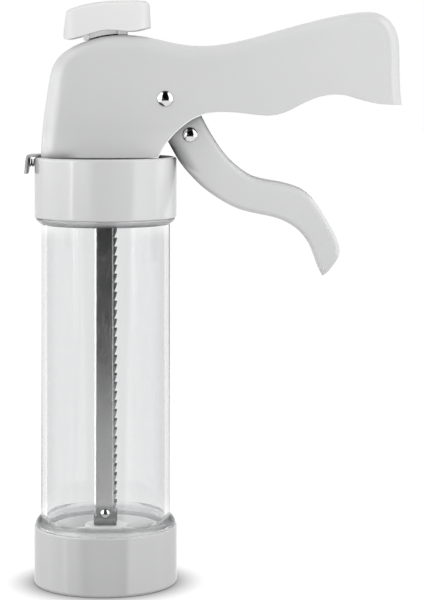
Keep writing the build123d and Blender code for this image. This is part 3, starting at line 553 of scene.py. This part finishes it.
# ------------------------------------------------------- floor and lights
def ramp(n, value, lo, hi, stops, top):
    """Piecewise linear curve of value, from (position, level) pairs; levels run up to top."""
    t = n.remap(value, lo, hi, 0.0, 1.0)
    r = n.add("ShaderNodeValToRGB", {0: t})
    el = r.color_ramp.elements
    pts = [((p - lo) / (hi - lo), v / top) for p, v in stops]
    el[0].position, el[0].color = pts[0][0], (pts[0][1],) * 3 + (1,)
    el[1].position, el[1].color = pts[-1][0], (pts[-1][1],) * 3 + (1,)
    for p, v in pts[1:-1]:
        e = el.new(p)
        e.color = (v, v, v, 1)
    return n.math("MULTIPLY", r.outputs[0], top)


def mixf(n, fac, a, b):
    m = n.nt.nodes.new("ShaderNodeMix")
    m.data_type = "FLOAT"
    n.put(m, "Factor", fac)
    n.put(m, 2, a)
    n.put(m, 3, b)
    return m.outputs[0]


SEEN_THROUGH = 0.79        # how bright the backdrop is behind clear plastic


def white_floor():
    m, nt = new_mat("studio_floor")
    n = Net(nt)
    geo = n.add("ShaderNodeNewGeometry")
    lp = n.add("ShaderNodeLightPath")
    sep = n.add("ShaderNodeSeparateXYZ", {0: geo.outputs["Position"]})
    r2 = n.math("ADD", n.math("MULTIPLY", sep.outputs[0], sep.outputs[0]),
                n.math("MULTIPLY", sep.outputs[1], sep.outputs[1]))
    rad = n.math("SQRT", r2)
    # painted shadow: the contact shadow is drawn from ambient occlusion into the floor's glow
    near = n.add("ShaderNodeAmbientOcclusion", {"Distance": 0.015}, samples=16)
    shade = ramp(n, near.outputs["AO"], 0.0, 1.0, [(0.0, 0.12), (0.5, 0.36), (0.75, 0.74), (0.93, 0.98), (1.0, 1.04)], 1.04)
    a = n.noise(n.coord(), 30.0, 3.0)
    seen = n.add("ShaderNodeEmission", {"Color": (1, 1, 1, 1),
                                        "Strength": n.math("MULTIPLY", shade, n.remap(a, 0.3, 0.7, 0.998, 1.004))})
    soft = ramp(n, rad, 0.0, 1.0, [(0.0, 0.3), (0.06, 0.36), (0.35, 0.72), (1.0, 0.72)], 1.0)
    mirrored = n.math("MULTIPLY", n.math("GREATER_THAN", lp.outputs["Glossy Depth"], 0.5),
                      n.math("SUBTRACT", 1.0, lp.outputs["Is Diffuse Ray"]))
    soft = mixf(n, lp.outputs["Is Transmission Ray"], soft,
                n.math("MULTIPLY", shade, SEEN_THROUGH))
    lit = n.add("ShaderNodeEmission", {"Color": (1, 1, 1, 1), "Strength": soft})
    body = n.add("ShaderNodeMixShader", {0: lp.outputs["Is Camera Ray"]})
    nt.links.new(lit.outputs[0], body.inputs[1])
    nt.links.new(seen.outputs[0], body.inputs[2])
    t = n.add("ShaderNodeBsdfTransparent")
    open_ = n.math("MAXIMUM", geo.outputs["Backfacing"], mirrored)
    mix = n.add("ShaderNodeMixShader", {0: open_})
    nt.links.new(body.outputs[0], mix.inputs[1])
    nt.links.new(t.outputs[0], mix.inputs[2])
    n.finish(mix)
    return m


me = bpy.data.meshes.new("studio_floor")
R = 6.0
disc = [(R * math.cos(2 * math.pi * i / 64), R * math.sin(2 * math.pi * i / 64), -0.0002) for i in range(64)]
me.from_pydata(disc, [], [tuple(range(64))])
floor = bpy.data.objects.new("studio_floor", me)
me.materials.append(white_floor())
scene.collection.objects.link(floor)
floor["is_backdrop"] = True
floor.parent = frame["bodies"]["ring"]

# The room is white to the eye. What the surfaces see is a darker camera side between two tall
# soft panels, written as a level for each compass direction round the object.
world = bpy.data.worlds.new("studio")
scene.world = world
world.use_nodes = True
world.cycles.sampling_method = "NONE"
wn = Net(world.node_tree)
world.node_tree.nodes.clear()
tc = wn.add("ShaderNodeTexCoord")
sep = wn.add("ShaderNodeSeparateXYZ", {0: tc.outputs["Generated"]})
az = wn.math("MULTIPLY", wn.math("ARCTAN2", sep.outputs[0], wn.math("MULTIPLY", sep.outputs[1], -1.0)),
             180.0 / math.pi)
# the panels lean: lower down their edges stand further to the left
lean = wn.math("MULTIPLY", wn.remap(sep.outputs[2], -0.05, -0.218, 0.0, 12.0),
               wn.remap(wn.math("ABSOLUTE", az), 60.0, 100.0, 1.0, 0.0))
panels = ramp(wn, wn.math("ADD", az, lean), -180.0, 180.0, [
    (-180, 1.0), (-150, 1.0), (-125, 1.6), (-98, 2.9), (-70, 2.9), (-53.5, 2.9),
    (-50.5, 1.3), (-40, 1.2), (-24, 1.0), (-18, 0.35), (-13, 0.12), (-8, 0.08), (12, 0.08), (16, 0.3),
    (40, 0.45), (48, 0.9), (52, 3.4), (97, 2.6), (127, 1.5), (150, 1.0), (180, 1.0)], 8.0)
edge = ramp(wn, az, -180.0, 180.0, [(-180, 0.0), (-56.0, 0.0), (-55.0, 5.0), (-52.5, 5.0), (-51.5, 0.0), (180, 0.0)], 6.0)
panels = wn.math("ADD", panels, wn.math("MULTIPLY", edge, wn.remap(sep.outputs[2], -0.15, -0.10, 0.0, 1.0)))
# low down the left side stays light further round, and beside the housing it is brighter
low = ramp(wn, az, -180.0, 180.0, [(-180, 0.0), (-72, 0.0), (-64, 1.0), (-44, 1.0), (-36, 0.0), (180, 0.0)], 1.0)
panels = wn.math("ADD", panels, wn.math("MULTIPLY", low, wn.remap(sep.outputs[2], -0.13, -0.19, 0.0, 1.2)))
tall = ramp(wn, az, -180.0, 180.0, [(-180, 0.0), (-130, 0.0), (-112, 2.6), (-70, 3.0), (-45, 4.2), (-30, 4.6), (-14, 0.0), (180, 0.0)], 5.0)
band = wn.math("MULTIPLY", wn.remap(sep.outputs[2], -0.046, -0.030, 0.0, 1.0),
               wn.remap(sep.outputs[2], 0.25, 0.45, 1.0, 0.0))
panels = wn.math("ADD", panels, wn.math("MULTIPLY", tall, band))
above = wn.math("MULTIPLY", wn.remap(sep.outputs[2], 0.02, 0.12, 0.0, 1.0),
                wn.remap(wn.math("ABSOLUTE", az), 36.0, 44.0, 1.0, 0.0))
panels = mixf(wn, above, panels, 0.08)
high = wn.remap(sep.outputs[2], 0.75, 0.95, 0.0, 1.0)
table = wn.math("MULTIPLY", wn.remap(sep.outputs[2], -0.141, -0.167, 0.0, 1.0),
                wn.remap(wn.math("ABSOLUTE", az), 20.0, 34.0, 1.0, 0.0))
high = wn.math("MULTIPLY", high, wn.remap(wn.math("ABSOLUTE", az), 40.0, 60.0, 0.0, 1.0))
glossy = mixf(wn, table, mixf(wn, high, panels, 0.6), 1.0)
glossy = mixf(wn, wn.remap(sep.outputs[2], -0.30, -0.40, 0.0, 1.0), glossy, 0.95)
soft = ramp(wn, az, -180.0, 180.0, [(-180, 0.80), (-120, 0.90), (-85, 1.02), (-45, 0.72), (0, 0.63), (45, 0.68),
                                    (90, 0.80), (180, 0.80)], 1.1)
soft = mixf(wn, wn.remap(sep.outputs[2], 0.1, 0.9, 0.0, 1.0), soft, 0.70)
lp = wn.add("ShaderNodeLightPath")
mirrored = wn.math("MULTIPLY", wn.math("GREATER_THAN", lp.outputs["Glossy Depth"], 0.5),
                   wn.math("SUBTRACT", 1.0, lp.outputs["Is Diffuse Ray"]))
level = mixf(wn, lp.outputs["Is Transmission Ray"], soft, SEEN_THROUGH)
level = mixf(wn, mirrored, level, glossy)
level = mixf(wn, lp.outputs["Is Camera Ray"], level, 1.0)
bg = wn.add("ShaderNodeBackground", {"Color": (1, 1, 1, 1), "Strength": level})
wo = wn.add("ShaderNodeOutputWorld")
world.node_tree.links.new(bg.outputs[0], wo.inputs[0])


def area(name, loc, target, sx, sy, power, specular=1.0):
    ld = bpy.data.lights.new(name, "AREA")
    ld.shape = "RECTANGLE"
    ld.size, ld.size_y = sx, sy
    ld.energy = power
    ld.specular_factor = specular
    ob = bpy.data.objects.new(name, ld)
    ob.location = loc
    ob.rotation_mode = "QUATERNION"
    ob.rotation_quaternion = (Vector(target) - Vector(loc)).to_track_quat("-Z", "Y")
    ob.visible_camera = False
    ob.visible_glossy = specular > 0
    scene.collection.objects.link(ob)
    return ob


area("fill_right", (0.165, -0.24, 0.245), (0.09, 0.0, 0.2), 0.14, 0.14, 0.16, 0.0)
area("fill_left", (-0.8, -0.3, 0.5), (0.0, 0.0, 0.15), 0.4, 0.6, 0.6, 0.0)
area("top", (0.05, 0.1, 1.1), (0.05, 0.0, 0.1), 0.9, 0.9, 1.0, 0.0)

# ----------------------------------------------------------------- camera
cam_data = bpy.data.cameras.new("camera")
cam = bpy.data.objects.new("camera", cam_data)
scene.collection.objects.link(cam)
CAM = (0.04465, -0.903, 0.2165)
cam.location = CAM
cam.rotation_euler = (math.radians(90), 0, 0)
cam_data.sensor_width = 36.0
cam_data.lens = 129.0
cam_data.clip_start, cam_data.clip_end = 0.01, 50.0
# the lens is shifted down only while the camera stands at the main viewpoint
drv = cam_data.driver_add("shift_y").driver
drv.type = "SCRIPTED"
var = drv.variables.new()
var.name = "y"
var.type = "TRANSFORMS"
var.targets[0].id = cam
var.targets[0].transform_type = "LOC_Y"
var.targets[0].transform_space = "WORLD_SPACE"
var2 = drv.variables.new()
var2.name = "x"
var2.type = "TRANSFORMS"
var2.targets[0].id = cam
var2.targets[0].transform_type = "LOC_X"
var2.targets[0].transform_space = "WORLD_SPACE"
drv.expression = "-0.3917 if abs(y + 0.903) < 0.0001 and abs(x - 0.04465) < 0.0001 else 0.0"
scene.camera = cam

scene.view_settings.view_transform = "Standard"
scene.view_settings.look = "None"
scene.view_settings.exposure = 0.0
scene.view_settings.gamma = 1.0

lo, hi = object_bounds()
